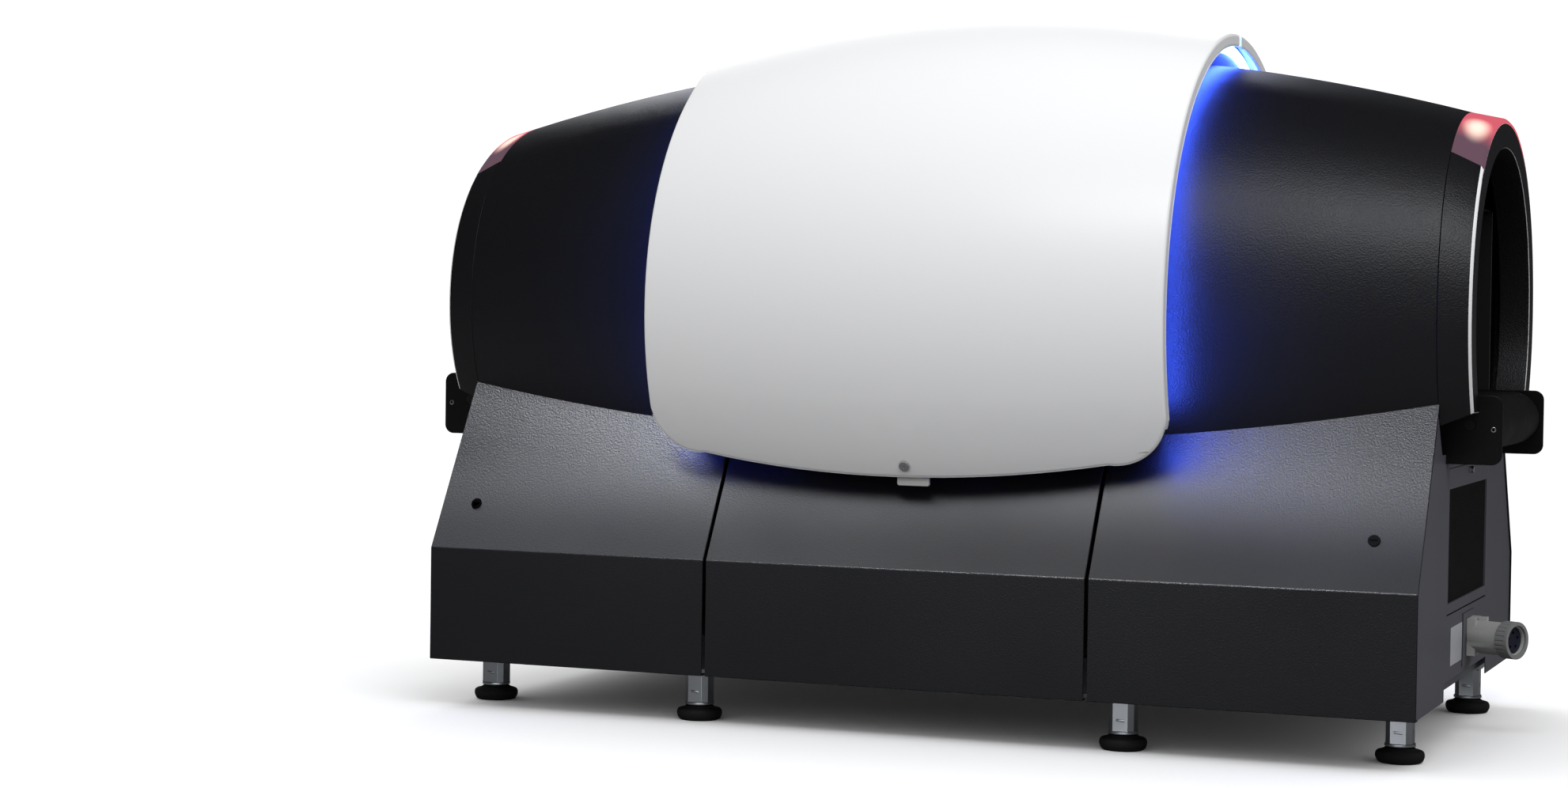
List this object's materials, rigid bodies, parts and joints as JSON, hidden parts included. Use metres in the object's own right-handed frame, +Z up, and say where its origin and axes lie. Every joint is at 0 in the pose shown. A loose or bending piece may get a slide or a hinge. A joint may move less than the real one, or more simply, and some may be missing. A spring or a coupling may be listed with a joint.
{
  "type": "baggage ct scanner",
  "caption": "Checkpoint baggage CT scanner: belt conveyor through a spinning X-ray gantry in a barrel casing with hinged white covers, on a sloped black base with levelling feet.",
  "frame": {"origin": "on the floor under the middle of the base", "axes": "+X along the belt towards the end with the mains inlet, -Y towards the front service side, +Z up"},
  "size_m": [2.5823, 1.4278, 1.6558],
  "materials": {
    "black_moulding": "fine textured moulding",
    "graphite_paint": "satin powder coat",
    "filter_black": "woven filter mesh",
    "white_moulding": "satin white",
    "grey_plastic": "moulded",
    "lock_black": "moulded",
    "bright_steel": "turned",
    "indicator_lens": "frosted lens",
    "light_strip": "light strip",
    "black_steel": "black powder coat",
    "frame_paint": "grey powder coat",
    "zinc_plate": "zinc plated",
    "rubber": "matte",
    "cast_aluminium": "machined casting",
    "slip_copper": "turned",
    "ring_grey": "ribbed",
    "navy_plastic": "moulded"
  },
  "bodies": {
    "casing": {"base_frame": "frame_paint", "base_panel_front_centre": "black_moulding", "base_panel_front_left": "black_moulding", "base_panel_front_right": "black_moulding", "base_panel_rear_centre": "black_moulding", "base_panel_rear_left": "black_moulding", "base_panel_rear_right": "black_moulding", "brush_block": "grey_plastic", "collar_left": "black_moulding", "collar_right": "black_moulding", "control_unit": "frame_paint", "conveyor_bed": "zinc_plate", "conveyor_belt": "rubber", "conveyor_side_plates": "black_steel", "drive_belt": "rubber", "drive_motor": "cast_aluminium", "end_panel_left": "graphite_paint", "end_panel_right": "graphite_paint", "foot_housings": "zinc_plate", "foot_pads": "rubber", "gantry_frame": "frame_paint", "hinge_pins": "bright_steel", "hinge_rail": "black_steel", "hood_left": "black_moulding", "hood_right": "black_moulding", "indicator_lens_left": "indicator_lens", "indicator_lens_right": "indicator_lens", "inlet_body": "grey_plastic", "inlet_face": "navy_plastic", "inlet_plate": "graphite_paint", "light_ring_plates": "black_steel", "light_strips": "light_strip", "main_bearing_race": "bright_steel", "mouth_plates": "graphite_paint", "tunnel_liner": "zinc_plate"},
    "front_cover_body": {"front_cover": "white_moulding", "front_hinge_straps": "black_steel", "front_pull_tab": "grey_plastic"},
    "rear_cover_body": {"rear_cover": "white_moulding", "rear_hinge_straps": "black_steel", "rear_pull_tab": "grey_plastic"},
    "front_key": {"front_cover_lock": "bright_steel"},
    "rear_key": {"rear_cover_lock": "bright_steel"},
    "lock_front_left": {"panel_lock_front_left": "lock_black"},
    "lock_front_right": {"panel_lock_front_right": "lock_black"},
    "lock_rear_left": {"panel_lock_rear_left": "lock_black"},
    "lock_rear_right": {"panel_lock_rear_right": "lock_black"},
    "rotor": {"rotor_drum": "cast_aluminium", "xray_tube": "cast_aluminium", "voltage_tank": "cast_aluminium", "rotor_cooler": "cast_aluminium", "detector_array": "cast_aluminium", "slip_ring": "slip_copper"},
    "pulley": {"drive_pulley": "bright_steel"},
    "drive_drum_body": {"drive_drum": "bright_steel"},
    "tail_drum_body": {"tail_drum": "bright_steel"},
    "door": {"filter_door": "graphite_paint", "filter_mesh": "filter_black"},
    "latch": {"door_latch": "bright_steel"},
    "inlet_ring_body": {"inlet_ring": "ring_grey"}
  },
  "joints": [
    {"name": "front_cover_hinge", "type": "hinge", "parent": "casing", "child": "front_cover_body", "pos_m": [0, -0.0275, 1.637], "axis": [-1, 0, 0], "range_deg": [0, 45]},
    {"name": "rear_cover_hinge", "type": "hinge", "parent": "casing", "child": "rear_cover_body", "pos_m": [0, 0.0275, 1.637], "axis": [1, 0, 0], "range_deg": [0, 45]},
    {"name": "front_key_turn", "type": "hinge", "parent": "front_cover_body", "child": "front_key", "pos_m": [0.022, -0.62775, 0.602], "axis": [0, -0.8793, -0.4762], "range_deg": [0, 90]},
    {"name": "rear_key_turn", "type": "hinge", "parent": "rear_cover_body", "child": "rear_key", "pos_m": [0.022, 0.62775, 0.602], "axis": [0, 0.8793, -0.4762], "range_deg": [0, 90]},
    {"name": "front_left_lock_turn", "type": "hinge", "parent": "casing", "child": "lock_front_left", "pos_m": [-1.06, -0.59221, 0.478], "axis": [0, -0.8721, 0.4893], "range_deg": [0, 90]},
    {"name": "front_right_lock_turn", "type": "hinge", "parent": "casing", "child": "lock_front_right", "pos_m": [1.047, -0.59221, 0.478], "axis": [0, -0.8721, 0.4893], "range_deg": [0, 90]},
    {"name": "rear_left_lock_turn", "type": "hinge", "parent": "casing", "child": "lock_rear_left", "pos_m": [-1.06, 0.59221, 0.478], "axis": [0, 0.8721, 0.4893], "range_deg": [0, 90]},
    {"name": "rear_right_lock_turn", "type": "hinge", "parent": "casing", "child": "lock_rear_right", "pos_m": [1.047, 0.59221, 0.478], "axis": [0, 0.8721, 0.4893], "range_deg": [0, 90]},
    {"name": "gantry_spin", "type": "hinge", "parent": "casing", "child": "rotor", "pos_m": [0, 0, 0.942], "axis": [1, 0, 0], "continuous": true},
    {"name": "pulley_spin", "type": "hinge", "parent": "casing", "child": "pulley", "pos_m": [0.22, -0.42, 0.38], "axis": [1, 0, 0], "continuous": true},
    {"name": "drive_drum_spin", "type": "hinge", "parent": "casing", "child": "drive_drum_body", "pos_m": [1.195, 0, 0.715], "axis": [0, 1, 0], "continuous": true},
    {"name": "tail_drum_spin", "type": "hinge", "parent": "casing", "child": "tail_drum_body", "pos_m": [-1.23, 0, 0.715], "axis": [0, 1, 0], "continuous": true},
    {"name": "filter_door_tilt", "type": "hinge", "parent": "casing", "child": "door", "pos_m": [1.142, 0, 0.304], "axis": [0, 1, 0], "range_deg": [0, 80]},
    {"name": "door_latch_turn", "type": "hinge", "parent": "door", "child": "latch", "pos_m": [1.146, 0, 0.605], "axis": [1, 0, 0], "range_deg": [0, 90]},
    {"name": "inlet_ring_turn", "type": "hinge", "parent": "casing", "child": "inlet_ring_body", "pos_m": [1.146, 0.025, 0.228], "axis": [0.8862, -0.4633, 0], "range_deg": [0, 40]}
  ],
  "couplings": [
    {"joint": "pulley_spin", "follows": "gantry_spin", "ratio": 10},
    {"joint": "tail_drum_spin", "follows": "drive_drum_spin", "ratio": 1}
  ]
}
